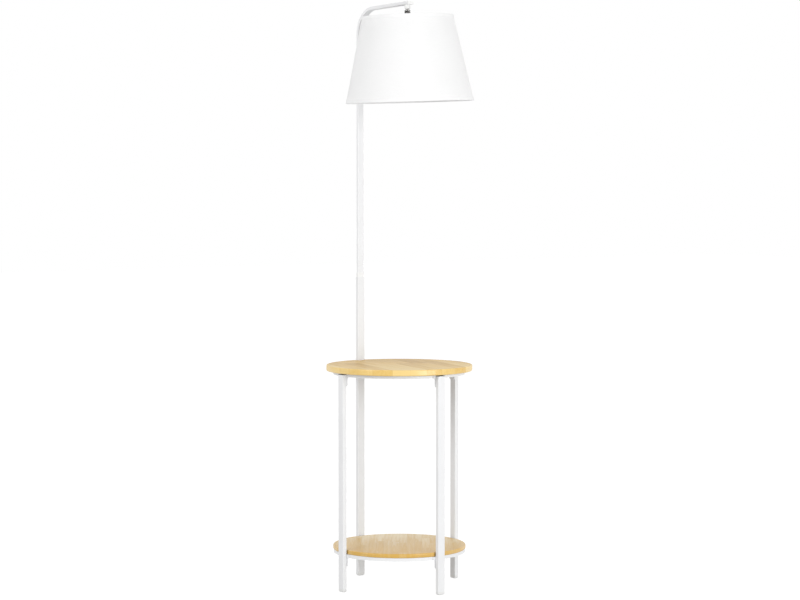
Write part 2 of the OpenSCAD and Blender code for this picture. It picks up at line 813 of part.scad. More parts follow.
// Wire ring inside the shade's wall, at a depth below the shade's top
module shade_wire(depth) {
    rotate_extrude() translate(shade_pt(wire_inwards, depth)) circle(r = wire_r, $fn = 24);
}

// Move children from the swivel's pin to the middle of the shade's top
module at_shade_top() {
    at_head() translate([0, 0, shade_top_z]) children();
}

// Fitter: the centre ring, three spokes and the top wire, welded together
module shade_fitter() {
    top_wire = shade_pt(wire_inwards, wire_z);
    color(white_paint) at_shade_top() {
        difference() {
            translate([0, 0, -fitter_drop - fitter_t / 2]) cylinder(r = fitter_hub_r, h = fitter_t);
            translate([0, 0, -fitter_drop - fitter_t])
                cylinder(r = holder_r + fit_gap, h = 2 * fitter_t);
        }
        for (a = spoke_angles) rotate([0, 0, a])
            strut([fitter_hub_r - weld, 0, -fitter_drop], [top_wire[0], 0, top_wire[1]],
                  spoke_d / 2);
        shade_wire(wire_z);
    }
}

module shade_bottom_wire() {
    color(white_paint) at_shade_top() shade_wire(shade_h - wire_z);
}

module shade_skin() {
    bottom = shade_h - skin_edge;
    color(white_fabric) at_shade_top() rotate_extrude()
        polygon([shade_pt(0, skin_edge), shade_pt(0, bottom),
                 shade_pt(shade_wall, bottom), shade_pt(shade_wall, skin_edge)]);
}

// Fabric band that is folded over the shade's top edge and the top wire
module shade_top_trim() {
    out = -fit_gap - trim_t;
    inner = wire_inwards + wire_r;
    color(white_fabric) at_shade_top() rotate_extrude()
        polygon([shade_pt(out, trim_h), shade_pt(out, 0), shade_pt(inner, 0),
                 shade_pt(inner, trim_t), shade_pt(-fit_gap, trim_t), shade_pt(-fit_gap, trim_h)]);
}

// Fabric band that is folded round the shade's bottom edge and the bottom wire
module shade_bottom_trim() {
    out = -fit_gap - trim_t;
    inner = wire_inwards + wire_r + fit_gap;
    edge = shade_h - trim_t;
    flap = shade_h - trim_h * 0.7;
    color(white_fabric) at_shade_top() rotate_extrude()
        polygon([shade_pt(out, shade_h - trim_h), shade_pt(out, shade_h),
                 shade_pt(inner + trim_t, shade_h), shade_pt(inner + trim_t, flap),
                 shade_pt(inner, flap), shade_pt(inner, edge), shade_pt(-fit_gap, edge),
                 shade_pt(-fit_gap, shade_h - trim_h)]);
}

front_left_leg();
front_right_leg();
back_right_leg();
pole_leg();
upper_pole();
upper_ring_frame();
lower_ring_frame();
table_top();
lower_shelf();
foot_caps();
leg_top_plugs();
upper_leg_bolts();
lower_leg_bolts();
upper_leg_inserts();
lower_leg_inserts();
table_top_screws();
lower_shelf_screws();
pole_joint_collar();
pole_lock_bolt();
pole_lock_insert();
cord_grommet();
arm_end_cap();
arm_collar();
swivel_lock_nut();
swivel_upper_knuckle();
swivel_washer();
swivel_lower_knuckle();
swivel_pin();
swivel_pin_nut();
lampholder_cap();
lampholder_body();
lampholder_insert();
centre_contact();
shade_ring_upper();
shade_ring_lower();
shade_fitter();
shade_bottom_wire();
shade_skin();
shade_top_trim();
shade_bottom_trim();
bulb_base();
bulb_glass();
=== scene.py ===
# %% [markdown]
# # A floor lamp that grows out of a side table
#
# The lamp's rigid pieces are already built to size and packed as one frame. This lesson gives
# them their finishes, models the soft and fine pieces that the frame only stands in for, and sets
# up a plain white studio with the camera where the photographer stood. Each cell does one thing.

# %% Load the frame
import json
import math

import bpy
from mathutils import Euler, Matrix, Vector


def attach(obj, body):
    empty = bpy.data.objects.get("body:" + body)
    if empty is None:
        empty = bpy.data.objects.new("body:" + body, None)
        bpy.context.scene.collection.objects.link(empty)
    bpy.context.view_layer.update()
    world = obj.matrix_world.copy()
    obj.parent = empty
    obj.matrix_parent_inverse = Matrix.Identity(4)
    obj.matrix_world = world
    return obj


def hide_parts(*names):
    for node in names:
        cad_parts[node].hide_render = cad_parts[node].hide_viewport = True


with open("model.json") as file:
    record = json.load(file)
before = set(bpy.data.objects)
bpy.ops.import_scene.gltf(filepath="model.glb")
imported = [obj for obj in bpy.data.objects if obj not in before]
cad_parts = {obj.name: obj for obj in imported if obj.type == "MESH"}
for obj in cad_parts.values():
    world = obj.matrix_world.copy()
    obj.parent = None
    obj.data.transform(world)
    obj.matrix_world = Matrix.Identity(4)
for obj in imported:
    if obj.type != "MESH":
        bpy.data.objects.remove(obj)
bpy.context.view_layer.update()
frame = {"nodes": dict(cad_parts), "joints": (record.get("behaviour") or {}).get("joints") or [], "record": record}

MM = 0.001
nodes = frame["nodes"]

# %% [markdown]
# ## The camera
#
# The photographer stood about 6.4 m away with a long lens, a little over a metre above the floor,
# looking at the lamp from its arm's side. The distance follows from the ovals of the two boards:
# the far and near rims of a 400 mm circle are 22 pixels apart, which no other height and distance
# give together. The camera is tipped down by less than 3 degrees and has no lens shift, so that
# the lamp stays in the middle of every other view too. Blender's operators act on everything that
# is selected, so everything new starts from an empty selection.

# %% Camera
CAMERA_PLACE = Vector((5.171, -3.702, 1.118))
CAMERA_AIM = Vector((0.0011, 0.0015, 0.7865))
LENS = 104.64                     # focal length in millimetres
SENSOR = 36                       # width of the sensor in millimetres
SIGHT = 60                        # how far the camera sees, in metres


def deselect():
    """Leaves nothing selected, in object mode."""
    if bpy.context.object is not None and bpy.context.object.mode != "OBJECT":
        bpy.ops.object.mode_set(mode="OBJECT")
    bpy.ops.object.select_all(action="DESELECT")


gaze = CAMERA_AIM - CAMERA_PLACE
deselect()
bpy.ops.object.camera_add(location=CAMERA_PLACE, rotation=gaze.to_track_quat("-Z", "Y").to_euler())
camera = bpy.context.object
camera.name = "studio_camera"
camera.data.lens = LENS
camera.data.sensor_width = SENSOR
camera.data.clip_end = SIGHT
bpy.context.scene.camera = camera
print("camera to lamp:", round(gaze.length, 3), "m")

# %% [markdown]
# ## The studio
#
# The world, the floor and every finish are trees of nodes. A few helpers make each step of such a
# tree one line: an input takes either a plain value or the output of another node.


# %% Helpers for node trees
def add_node(tree, kind, inputs=None, **settings):
    """A node of a kind, with its settings, and then its inputs by name or place."""
    node = tree.nodes.new("ShaderNode" + kind)
    for setting, value in settings.items():
        setattr(node, setting, value)
    for label, value in (inputs or {}).items():
        if isinstance(value, bpy.types.NodeSocket):
            tree.links.new(value, node.inputs[label])
        else:
            node.inputs[label].default_value = value
    return node


def add_math(tree, operation, *values):
    """A Math node. Each value is a number or an output. Returns the result's socket."""
    return add_node(tree, "Math", dict(enumerate(values)), operation=operation).outputs[0]


def add_vector_math(tree, operation, *values):
    """A Vector Math node. Returns the result's socket."""
    node = add_node(tree, "VectorMath", dict(enumerate(values)), operation=operation)
    return node.outputs["Value" if operation in ("LENGTH", "DOT_PRODUCT") else "Vector"]


def add_range(tree, value, low, high, to_low, to_high):
    """Maps a value from one range to another and holds it at both ends."""
    limits = {"Value": value, "From Min": low, "From Max": high, "To Min": to_low, "To Max": to_high}
    return add_node(tree, "MapRange", limits).outputs["Result"]


def direct_ray(tree):
    """A Light Path node's outputs, and a mask that is 1 for camera rays and mirror images."""
    path = add_node(tree, "LightPath").outputs
    return path, add_math(tree, "MAXIMUM", path["Is Camera Ray"], path["Is Glossy Ray"])


# %% [markdown]
# A product shot on white wants three things: a background that is exactly white in the picture, a
# floor that still takes a faint shadow, and light on the object that is soft but not flat. The
# background's white comes from what the camera ray meets, and not from more light, so the lamp's
# own whites don't clip. The world answers camera, mirror and glass rays with plain white. All
# other rays get a dimmer grey that grows a little darker towards the ceiling, so that the boards'
# tops are lit less than the tubes' sides.

# %% World
WHITE = (1, 1, 1, 1)
FILL_AT_HORIZON = 0.70
FILL_AT_ZENITH = 0.60

world = bpy.data.worlds.new("studio_world")
bpy.context.scene.world = world
world.use_nodes = True
tree = world.node_tree
tree.nodes.clear()
direction = add_node(tree, "TexCoord").outputs["Generated"]
height = add_node(tree, "SeparateXYZ", {0: direction}).outputs["Z"]
level = add_range(tree, height, 0, 1, FILL_AT_HORIZON, FILL_AT_ZENITH)
fill = add_node(tree, "Background", {"Color": WHITE, "Strength": level})
white = add_node(tree, "Background", {"Color": WHITE, "Strength": 1.0})
path, direct = direct_ray(tree)
seen = add_math(tree, "MAXIMUM", direct, path["Is Transmission Ray"])
blend = add_node(tree, "MixShader", {0: seen, 1: fill.outputs[0], 2: white.outputs[0]})
add_node(tree, "OutputWorld", {"Surface": blend.outputs[0]})
print("world: white to the eye, fill", FILL_AT_HORIZON, "to", FILL_AT_ZENITH)

# %% [markdown]
# The floor is a pale sheet. To the camera it shines with most of white by itself, and only the
# rest comes from the light that falls on it, so the lamp's shadow is there but stays faint. What
# the floor sends up to the lamp grows with the distance from it, because the floor close by lies
# in the shade of the boards. So the feet get less light than the top, as in the photo.

# %% Floor
FLOOR_SIZE = 40
FLOOR_DROP = 0.4 * MM             # keeps the floor just clear of the feet
FLOOR_GLOW = 0.92                 # what the camera sees of the floor where no light falls
FLOOR_PAINT = (0.2, 0.2, 0.2, 1)  # takes the shadow
FLOOR_FILL_NEAR = 0.54            # what the floor sends up to the lamp from under it
FLOOR_FILL_FAR = 0.68             # and from FLOOR_FAR metres away
FLOOR_FAR = 2.5

deselect()
bpy.ops.mesh.primitive_plane_add(size=FLOOR_SIZE, location=(0, 0, -FLOOR_DROP))
floor = bpy.context.object
floor.name = "studio_floor"
floor_finish = bpy.data.materials.new("studio_floor_finish")
floor_finish.use_nodes = True
tree = floor_finish.node_tree
tree.nodes.clear()
away = add_vector_math(tree, "LENGTH", add_node(tree, "TexCoord").outputs["Object"])
level = add_range(tree, away, 0, FLOOR_FAR, FLOOR_FILL_NEAR, FLOOR_FILL_FAR)
lit = add_node(tree, "Emission", {"Color": WHITE, "Strength": level})
glow = add_node(tree, "Emission", {"Color": WHITE, "Strength": FLOOR_GLOW})
faint = add_node(tree, "BsdfDiffuse", {"Color": FLOOR_PAINT})
both = add_node(tree, "AddShader", {0: glow.outputs[0], 1: faint.outputs[0]})
direct = direct_ray(tree)[1]
blend = add_node(tree, "MixShader", {0: direct, 1: lit.outputs[0], 2: both.outputs[0]})
add_node(tree, "OutputMaterial", {"Surface": blend.outputs[0]})
floor.data.materials.append(floor_finish)
print("floor:", FLOOR_SIZE, "m square, glow", FLOOR_GLOW)

# %% [markdown]
# The photo's light comes from the camera's side, and more from its right: the tube faces that
# look that way are one step lighter than the ones round the corner. Two big soft panels are
# enough, with the world as the fill. The right one stands low, so that the shade's shadow on the
# pole stays faint.

# %% Lights
LAMP_MIDDLE = Vector((0, 0, 0.8))
PANEL_SIDE = 2.4                  # metres
RIGHT_PANEL = Vector((5.0, 0.8, 1.2))
RIGHT_POWER = 112                 # watts
LEFT_PANEL = Vector((0.5, -4.4, 2.4))
LEFT_POWER = 72


def add_panel(name, centre, power):
    """A square panel of light that faces the middle of the lamp."""
    deselect()
    facing = (LAMP_MIDDLE - centre).to_track_quat("-Z", "Y").to_euler()
    bpy.ops.object.light_add(type="AREA", location=centre, rotation=facing)
    panel = bpy.context.object
    panel.name = name
    panel.data.shape = "SQUARE"
    panel.data.size = PANEL_SIDE
    panel.data.energy = power
    print(f"{name}: {power} W, {round(centre.z, 2)} m up")


add_panel("right_panel", RIGHT_PANEL, RIGHT_POWER)
add_panel("left_panel", LEFT_PANEL, LEFT_POWER)

view = bpy.context.scene.view_settings
view.view_transform = "Standard"

# %% [markdown]
# ## Shared effects
#
# Several finishes need the same small effects, so each effect is a node group with its own inputs
# and outputs, built once. The groups give colours, masks and heights only. The shader itself
# stays in each material.

# %% Helpers for groups
NOISE_LOW = 0.3                   # nearly all of a noise texture lies between these two
NOISE_HIGH = 0.7


def open_group(name, values, results):
    """A group with a Vector input, number inputs with defaults, and number outputs."""
    group = bpy.data.node_groups.new(name, "ShaderNodeTree")
    sockets = group.interface
    sockets.new_socket(name="Vector", in_out="INPUT", socket_type="NodeSocketVector")
    for label, value in values.items():
        socket = sockets.new_socket(name=label, in_out="INPUT", socket_type="NodeSocketFloat")
        socket.default_value = value
    for label in results:
        sockets.new_socket(name=label, in_out="OUTPUT", socket_type="NodeSocketFloat")
    return group, group.nodes.new("NodeGroupInput").outputs


def close_group(group, **results):
    """Links each result to the group's output of that name."""
    end = group.nodes.new("NodeGroupOutput")
    for label, socket in results.items():
        group.links.new(socket, end.inputs[label])
    print("group:", group.name, "with", ", ".join(results))


def add_noise(tree, vector, scale, detail, **values):
    """A Noise texture. Returns the socket of its grey value."""
    inputs = {"Vector": vector, "Scale": scale, "Detail": detail, **values}
    return add_node(tree, "TexNoise", inputs).outputs["Fac"]


# %% [markdown]
# ### Orange peel
#
# Paint that was baked on as powder, and plastic from a blasted mould, are never quite smooth:
# they have a fine, rounded ripple, and their gloss drifts a little from place to place. Two noise
# textures give both. The ripple's size is an input, because paint ripples more widely than
# plastic.

# %% Group: orange peel
DRIFT = 14.0                      # changes of gloss and tint per metre

peel_group, given = open_group(
    "orange_peel", {"Ripples per metre": 600.0, "Low gloss": 0.5, "High gloss": 0.4},
    ["Height", "Roughness", "Tint"])
ripple = add_noise(peel_group, given["Vector"], given["Ripples per metre"], 2)
drift = add_noise(peel_group, given["Vector"], DRIFT, 3)
gloss = add_range(peel_group, drift, NOISE_LOW, NOISE_HIGH, given["Low gloss"],
                  given["High gloss"])
close_group(peel_group, Height=ripple, Roughness=gloss, Tint=drift)

# %% [markdown]
# ## White powder coat and white plastic
#
# The tubes are white, but not as white as the paper behind them: in the photo their lit faces are
# a very light warm grey and their turned faces one step darker. The caps and collars are moulded
# in a cleaner, smoother white. The caps of the feet are painted a little greyer, partly their own
# greyer plastic and partly painted shade where they stand on the floor. A finish is a Principled
# shader whose plain values are set straight on it, with its colour, its roughness and the height
# for its bump coming from a group.


# %% Helpers for finishes
def add_group(tree, group, vector, **values):
    """Places a group in a tree. Its inputs are named with _ for a space. Returns its outputs."""
    node = tree.nodes.new("ShaderNodeGroup")
    node.node_tree = group
    tree.links.new(vector, node.inputs["Vector"])
    for label, value in values.items():
        node.inputs[label.replace("_", " ")].default_value = value
    return node.outputs


def add_ramp(tree, factor, stops):
    """A colour ramp with stops of (position, (red, green, blue)). Returns the colour's socket."""
    node = add_node(tree, "ValToRGB", {"Fac": factor})
    ramp = node.color_ramp
    stops = list(stops)
    while len(ramp.elements) < len(stops):
        ramp.elements.new(0.5)
    for element, (position, rgb) in zip(ramp.elements, stops):
        element.position = position
        element.color = (*rgb, 1)
    return node.outputs["Color"]


def new_finish(name, **values):
    """A material with one Principled shader, its plain values set by name with _ for a space."""
    material = bpy.data.materials.new(name)
    material.use_nodes = True
    shader = material.node_tree.nodes["Principled BSDF"]
    for label, value in values.items():
        shader.inputs[label.replace("_", " ")].default_value = value
    return material, material.node_tree, shader.inputs


def object_coordinates(tree):
    """The socket of a piece's own coordinates, in metres."""
    return add_node(tree, "TexCoord").outputs["Object"]


def dress_shader(tree, shader, colour, roughness, height, depth):
    """Links a colour, a roughness and a bump of some depth in metres to a Principled shader."""
    tree.links.new(colour, shader["Base Color"])
    if roughness is not None:
        tree.links.new(roughness, shader["Roughness"])
    bump = add_node(tree, "Bump", {"Strength": 1.0, "Distance": depth, "Height": height})
    tree.links.new(bump.outputs["Normal"], shader["Normal"])


# %% White finishes
TINTS = (0.35, 0.65)              # the noise values at which the darker and lighter shade are full


def peeled_finish(name, light, dark, ripples, depth, dull, glossy, **values):
    """A finish with orange peel, whose colour drifts between two close shades."""
    material, tree, shader = new_finish(name, **values)
    peel = add_group(tree, peel_group, object_coordinates(tree), Ripples_per_metre=ripples,
                     Low_gloss=dull, High_gloss=glossy)
    colour = add_ramp(tree, peel["Tint"], zip(TINTS, (dark, light)))
    dress_shader(tree, shader, colour, peel["Roughness"], peel["Height"], depth)
    print("finish:", name)
    return material


MOULD_RIPPLES = 1400.0            # per metre
MOULD_DEPTH = 0.02 * MM

white_paint = peeled_finish(
    "white_powder_coat", (0.84, 0.843, 0.85), (0.82, 0.823, 0.83),
    ripples=500.0, depth=0.06 * MM, dull=0.46, glossy=0.36, Specular_IOR_Level=0.5)
white_plastic = peeled_finish(
    "white_moulded_plastic", (0.88, 0.88, 0.87), (0.86, 0.86, 0.85),
    ripples=MOULD_RIPPLES, depth=MOULD_DEPTH, dull=0.42, glossy=0.32)
# The feet's caps are greyer than the other white plastic, partly painted shade near the floor
foot_plastic = peeled_finish(
    "foot_cap_plastic", (0.82, 0.82, 0.81), (0.78, 0.78, 0.77),
    ripples=MOULD_RIPPLES, depth=MOULD_DEPTH, dull=0.5, glossy=0.4)
dark_plastic = peeled_finish(
    "dark_grey_plastic", (0.03, 0.03, 0.03), (0.02, 0.02, 0.02),
    ripples=MOULD_RIPPLES, depth=MOULD_DEPTH, dull=0.6, glossy=0.5, Specular_IOR_Level=0.4)

# %% [markdown]
# ## Jointed strips of wood
#
# Both boards are glued up from narrow strips, and each strip from short lengths with finger
# joints, which is how light furniture board is made. Every length has its own tone and its own
# grain, so the pattern can't be one texture: the group first works out which strip and which
# length a point lies in, and gives each a random tone. The grain then runs along the strip, and
# is shifted by that tone so that it never carries on across a joint. All of it reads the board's
# own coordinates in three dimensions, so the rim shows side grain where the strips run along it
# and end grain where they end.

# %% Group: jointed strips
FINGER_DEPTH = 4 * MM
FINGER_PITCH = 3.6 * MM
ROW_SHIFT = 7.0                   # how many lengths one strip may be moved against the next
GLUE_LINE = 0.35 * MM
GRAIN = (7.0, 130.0, 90.0)        # streaks per metre along, across and through a strip
GRAIN_JUMP = 3.0                  # how far the grain may jump at a joint, in streaks
PORES = (9.0, 16.0, 16.0)         # pores per streak

strips_group, given = open_group("jointed_strips", {"Strip width": 0.022, "Length": 0.2},
                                 ["Tone", "Grain", "Joint", "Pores"])
tree = strips_group
along, across, through = add_node(tree, "SeparateXYZ", {0: given["Vector"]}).outputs
row_place = add_math(tree, "DIVIDE", across, given["Strip width"])
row = add_math(tree, "FLOOR", row_place)
row_random = add_node(tree, "TexWhiteNoise", {"W": row}, noise_dimensions="1D").outputs["Value"]
finger = add_math(tree, "PINGPONG", across, FINGER_PITCH / 2)
zigzag = add_math(tree, "MULTIPLY_ADD", finger, 2 * FINGER_DEPTH / FINGER_PITCH, along)
unshifted = add_math(tree, "DIVIDE", zigzag, given["Length"])
length_place = add_math(tree, "MULTIPLY_ADD", row_random, ROW_SHIFT, unshifted)
block = add_node(tree, "CombineXYZ", {0: row, 1: add_math(tree, "FLOOR", length_place)}).outputs[0]
tone = add_node(tree, "TexWhiteNoise", {"Vector": block}, noise_dimensions="2D").outputs["Value"]

# A glue line is where a point is near the edge of its strip or of its length
row_edge = add_math(tree, "MULTIPLY", add_math(tree, "PINGPONG", row_place, 0.5),
                    given["Strip width"])
length_edge = add_math(tree, "MULTIPLY", add_math(tree, "PINGPONG", length_place, 0.5),
                       given["Length"])
joint = add_range(tree, add_math(tree, "MINIMUM", row_edge, length_edge), 0, GLUE_LINE, 1, 0)

# The grain is noise that is drawn out along the strip and jumps at every joint
jump = add_math(tree, "MULTIPLY", tone, GRAIN_JUMP)
grain_place = add_node(tree, "CombineXYZ", {
    0: add_math(tree, "MULTIPLY_ADD", along, GRAIN[0], jump),
    1: add_math(tree, "MULTIPLY_ADD", across, GRAIN[1], jump),
    2: add_math(tree, "MULTIPLY", through, GRAIN[2])}).outputs[0]
grain = add_noise(tree, grain_place, 1, 5, Roughness=0.62, Distortion=0.7)
pores = add_noise(tree, add_vector_math(tree, "MULTIPLY", grain_place, PORES), 1, 1)
close_group(strips_group, Tone=tone, Grain=grain, Joint=joint, Pores=pores)

# %% [markdown]
# The two boards differ in their strips. The table top's run nearly along the arm, and its long
# lengths show as quiet bands. The shelf's run towards the viewer, and look like blocks. Both are
# under a clear, glossy lacquer, which at a low angle mirrors the white room and takes much of the
# colour out of the top, while the rim, seen square on, keeps its full honey. Fine ripple scatters
# part of that mirror image at the lowest angles, so a Layer Weight node lets the lacquer fade
# there. The colour also carries painted shade: the table top is painted darker towards the back,
# where its lacquer mirrors less of the room, and the shelf darker towards the front, where it lies
# in the table's shade. A Light Path node makes the light that bounces off the boards paler,
# because the tubes beside them look quite neutral in the photo.

# %% Wood finishes
LACQUER = 0.8                     # weight of the coat where a board is seen square on
FADE_FROM = 0.7                   # the coat begins to fade at this share of grazing
FADE_TO = 0.93
GLUE_SHADE = (0.45, 0.28, 0.14, 1)
GLUE_SHARE = 0.35
BOUNCE = (0.55, 0.55, 0.55, 1)    # the colour that bounced light is drawn towards
BOUNCE_SHARE = 0.6
WOOD_STOPS = (0.15, 0.5, 0.85)    # where its pale, honey and dark lie among all the tones
GRAIN_ROUGHNESS = (0.2, 0.35)     # share of the grain, and what is added to it
PORE_SHARE = 0.5
WOOD_DEPTH = 0.04 * MM


def board_finish(name, turn, width, length, share, darker, shine, pale, honey, dark):
    """Lacquered jointed strips, turned by an angle in degrees from the board's X axis.

    A share of each strip's colour is its own tone, and the rest is its grain. Painted shade
    darkens the colour along one vector, per metre. Shine is the coat's weight at the lowest angles.
    """
    material, tree, shader = new_finish(name, Coat_Roughness=0.2, Coat_IOR=1.5,
                                        Specular_IOR_Level=0.3)
    grazing = add_node(tree, "LayerWeight", {"Blend": 0.5}).outputs["Facing"]
    coat = add_range(tree, grazing, FADE_FROM, FADE_TO, LACQUER, shine)
    tree.links.new(coat, shader["Coat Weight"])

    place_on_board = object_coordinates(tree)
    turned = add_node(tree, "Mapping", {"Vector": place_on_board,
                                        "Rotation": (0, 0, -math.radians(turn))}).outputs[0]
    strips = add_group(tree, strips_group, turned, Strip_width=width, Length=length)
    own = add_math(tree, "MULTIPLY_ADD", strips["Tone"], share,
                   add_math(tree, "MULTIPLY", strips["Grain"], 1 - share))
    # Painted shade: the colour darkens along the vector darker, where the board gets less light and less mirror
    # image
    painted_shade = add_vector_math(tree, "DOT_PRODUCT", place_on_board, darker)
    colour = add_ramp(tree, add_math(tree, "ADD", painted_shade, own),
                      zip(WOOD_STOPS, (pale, honey, dark)))
    glue = add_math(tree, "MULTIPLY", strips["Joint"], GLUE_SHARE)
    colour = add_node(tree, "Mix", {"Factor": glue, "A": colour, "B": GLUE_SHADE},
                      data_type="RGBA", blend_type="MULTIPLY").outputs["Result"]
    bounced = add_math(tree, "MULTIPLY", add_node(tree, "LightPath").outputs["Is Diffuse Ray"],
                       BOUNCE_SHARE)
    colour = add_node(tree, "Mix", {"Factor": bounced, "A": colour, "B": BOUNCE},
                      data_type="RGBA").outputs["Result"]
    rough = add_math(tree, "MULTIPLY_ADD", strips["Grain"], *GRAIN_ROUGHNESS)
    height = add_math(tree, "SUBTRACT", add_math(tree, "MULTIPLY", strips["Pores"], PORE_SHARE),
                      strips["Joint"])
    dress_shader(tree, shader, colour, rough, height, WOOD_DEPTH)
    print("finish:", name)
    return material


# The darker vectors paint shade: the table top darker at the back, the shelf darker at the front
table_wood = board_finish(
    "table_top_wood", turn=-14, width=0.045, length=0.34, share=0.45, darker=(-1.5, 0.7, 0),
    shine=0.2, pale=(0.87, 0.63, 0.23), honey=(0.76, 0.49, 0.12), dark=(0.55, 0.31, 0.03))
shelf_wood = board_finish(
    "shelf_wood", turn=-36, width=0.021, length=0.17, share=0.3, darker=(1.5, -1.1, 0),
    shine=0.1, pale=(0.83, 0.67, 0.40), honey=(0.71, 0.475, 0.16), dark=(0.67, 0.395, 0.07))

# %% [markdown]
# ## Metals, rubber and opal glass
#
# The fasteners are zinc plated: bright, slightly cloudy and faintly scratched. The swivel is the
# one dark thing on the lamp, a polished dark nickel that mirrors the room. The bulb is opal
# glass: white right through, with a smooth skin.

# %% Group: fine scratches
SCRATCHES = (1800.0, 260.0, 1800.0)   # per metre along X, Y and Z
CLOUDS = 160.0                        # per metre

scratch_group, given = open_group("fine_scratches",
                                  {"Low roughness": 0.2, "High roughness": 0.35},
                                  ["Height", "Roughness", "Cloud"])
hair_place = add_vector_math(scratch_group, "MULTIPLY", given["Vector"], SCRATCHES)
hair = add_noise(scratch_group, hair_place, 1, 2)
cloud = add_noise(scratch_group, given["Vector"], CLOUDS, 3)
dullness = add_range(scratch_group, cloud, NOISE_LOW, NOISE_HIGH, given["Low roughness"],
                     given["High roughness"])
close_group(scratch_group, Height=hair, Roughness=dullness, Cloud=cloud)


# %% Metal finishes
def metal_finish(name, light, dark, low, high, depth):
    """A plated metal with fine scratches, a cloudy tone, and a roughness from low to high."""
    material, tree, shader = new_finish(name, Metallic=1.0)
    marks = add_group(tree, scratch_group, object_coordinates(tree), Low_roughness=low,
                      High_roughness=high)
    colour = add_ramp(tree, marks["Cloud"], [(NOISE_LOW, dark), (NOISE_HIGH, light)])
    dress_shader(tree, shader, colour, marks["Roughness"], marks["Height"], depth)
    print("finish:", name)
    return material


zinc = metal_finish("bright_zinc_plate", (0.66, 0.67, 0.69), (0.54, 0.55, 0.58),
                    low=0.26, high=0.42, depth=0.01 * MM)
dark_nickel = metal_finish("dark_polished_nickel", (0.20, 0.195, 0.19), (0.15, 0.147, 0.143),
                           low=0.14, high=0.24, depth=0.004 * MM)
nickel = metal_finish("bright_nickel_plate", (0.72, 0.70, 0.66), (0.62, 0.60, 0.56),
                      low=0.18, high=0.3, depth=0.006 * MM)

# %% Rubber and opal glass
rubber = peeled_finish("grey_rubber", (0.52, 0.52, 0.51), (0.45, 0.45, 0.44), ripples=1800.0,
                       depth=0.03 * MM, dull=0.85, glossy=0.7, Specular_IOR_Level=0.3)
opal = peeled_finish("opal_glass", (0.93, 0.92, 0.89), (0.91, 0.90, 0.87), ripples=60.0,
                     depth=0.02 * MM, dull=0.22, glossy=0.16, Subsurface_Weight=0.4,
                     Subsurface_Scale=4 * MM, Subsurface_Radius=(1, 1, 1), Coat_Weight=0.3,
                     Coat_Roughness=0.05)

# %% [markdown]
# ## Give the frame's pieces their finishes
#
# The record names a slot for every piece, so the finishes go on by slot. Only the material slots
# of the frame's objects are touched, and never their meshes.

# %% Dress the frame
finishes = {"white_paint": white_paint, "white_plastic": white_plastic,
            "foot_plastic": foot_plastic, "dark_plastic": dark_plastic,
            "table_wood": table_wood, "shelf_wood": shelf_wood, "zinc": zinc,
            "dark_chrome": dark_nickel, "nickel": nickel, "rubber_grey": rubber,
            "opal_glass": opal}
slot_of = {part["node"]: part["material_slot"] for part in frame["record"]["subparts"]}
dressed = [name for name in nodes if slot_of[name] in finishes]
for name in dressed:
    for slot in nodes[name].material_slots:
        slot.material = finishes[slot_of[name]]
print("dressed", len(dressed), "of", len(nodes), "nodes")

# %% [markdown]
# ## The shade
#
# A lampshade like this is a flat, curved strip of woven fabric on a clear stiff lining, rolled
# into a cone and glued where its ends lap. It hangs from the swivel and leans a little with it.
# So everything on the shade is placed through one matrix, which goes from the shade's own
# coordinates, with its top at Z = 0, to the lamp's. The frame knows the place and size: the lean
# is the slope between the two sides of the lower rim, and turning both rims back by it about the
# swivel's pin gives their true heights and radii. The sewn shade in the photo is a few
# millimetres taller than its plain stand-in, so its cone goes on past both rims.

# %% Where the shade hangs
TAPE_T = 0.6 * MM                 # thickness of the folded tape on both rims
RISE = 2.7 * MM                   # how far the cloth stands above its stand-in in the frame
DROP = 4 * MM                     # and how far it hangs below it

pin = Vector(next(j for j in frame["joints"] if j["name"] == "shade_tilt")["pos_m"])
rim = [vertex.co for vertex in nodes["shade_bottom_trim"].data.vertices]
left = min(rim, key=lambda point: point.y)
right = max(rim, key=lambda point: point.y)
LEAN = math.atan2(right.z - left.z, right.y - left.y)
from_pin = Matrix.Translation(pin) @ Euler((LEAN, 0, 0)).to_matrix().to_4x4()


def spun_points(node):
    """The (radius, height) of every point of a node, about the shade's axis and from its pin."""
    points = [from_pin.inverted() @ vertex.co for vertex in nodes[node].data.vertices]
    return [(math.hypot(point.x, point.y), point.z) for point in points]


def rim_size(node, choose):
    """The highest or lowest place of a rim, chosen by max or min, and its radius there."""
    points = spun_points(node)
    height = choose(z for radius, z in points)
    return height, max(radius for radius, z in points if abs(z - height) < TAPE_T / 2)


top_height, top_r = rim_size("shade_top_trim", max)
bottom_height, bottom_r = rim_size("shade_bottom_trim", min)
slope = (bottom_r - top_r) / (top_height - bottom_height)
SHADE_TOP_R = top_r - RISE * slope
SHADE_BOTTOM_R = bottom_r + DROP * slope
SHADE_H = top_height - bottom_height + RISE + DROP
SIDE = math.hypot(1, slope)       # length of the cone's side for each unit of depth
to_lamp = from_pin @ Matrix.Translation((0, 0, top_height + RISE))
print("shade:", [round(v / MM, 1) for v in (SHADE_TOP_R, SHADE_BOTTOM_R, SHADE_H)],
      "mm, lean", round(math.degrees(LEAN), 2), "degrees")


def shade_r(depth):
    """Outer radius of the tape at a depth below the shade's top."""
    return SHADE_TOP_R + depth * slope


# %% [markdown]
# ### Weave
#
# Plain weave is one thread over, one under, both ways. In a height map that is two rows of round
# ridges, and a checker that says which one is on top. The threads are uneven, so the ridges are
# pushed about by noise before they are cut. The pattern reads the cloth's own UV map, which is in
# metres round and down the cone, so the threads follow the cloth and not the room.

# %% Group: plain weave
WOBBLE = 90.0                     # how often a thread wanders, per metre
WANDER = (0.8, 0.8, 0.0)          # how far it does, in threads
UNDER = 0.4                       # height of a thread where it passes under
SLUBS = (40.0, 900.0, 1.0)        # thick places per metre, along and across a thread

